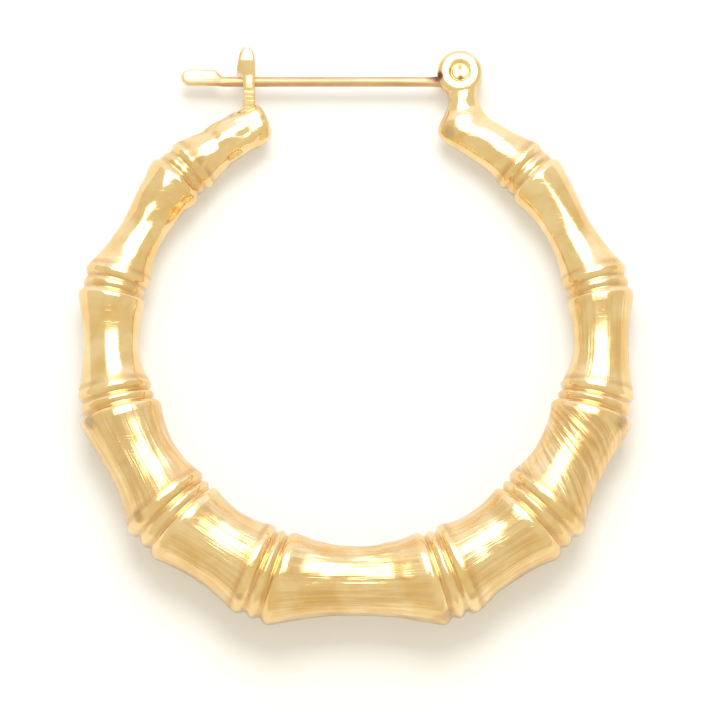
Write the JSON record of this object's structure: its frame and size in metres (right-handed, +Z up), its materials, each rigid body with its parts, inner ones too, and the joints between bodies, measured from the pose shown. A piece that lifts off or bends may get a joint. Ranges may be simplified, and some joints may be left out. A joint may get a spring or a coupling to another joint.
{
  "type": "bamboo hoop earring",
  "caption": "Round gold hoop earring with raised bamboo joints, thick at the bottom and thin at its ends, closed across the top by a hinged post that snaps into a forked catch.",
  "frame": {"origin": "middle of the lying earring's outline seen from above, on the surface it lies on", "axes": "+X from the catch towards the hinge, +Y from the hoop's thick bottom towards its post, +Z up from the surface, so the hoop lies on its side, leaning slightly on its thick and its thin joints"},
  "size_m": [0.0418, 0.044, 0.0071],
  "materials": {
    "polished_gold": "polished gold with fine engraved lines along the five lowest segments",
    "post_gold": "drawn gold wire, satin to polished",
    "rivet_gold": "polished gold"
  },
  "bodies": {
    "hoop": {"hoop": "polished_gold", "hinge_rivet": "rivet_gold"},
    "post": {"ear_post": "post_gold"}
  },
  "joints": [
    {"name": "post_hinge", "type": "hinge", "parent": "hoop", "child": "post", "pos_m": [0.0078, 0.02004, 0.00177], "axis": [0, -0.0488, -0.9988], "range_deg": [0, 105]}
  ]
}
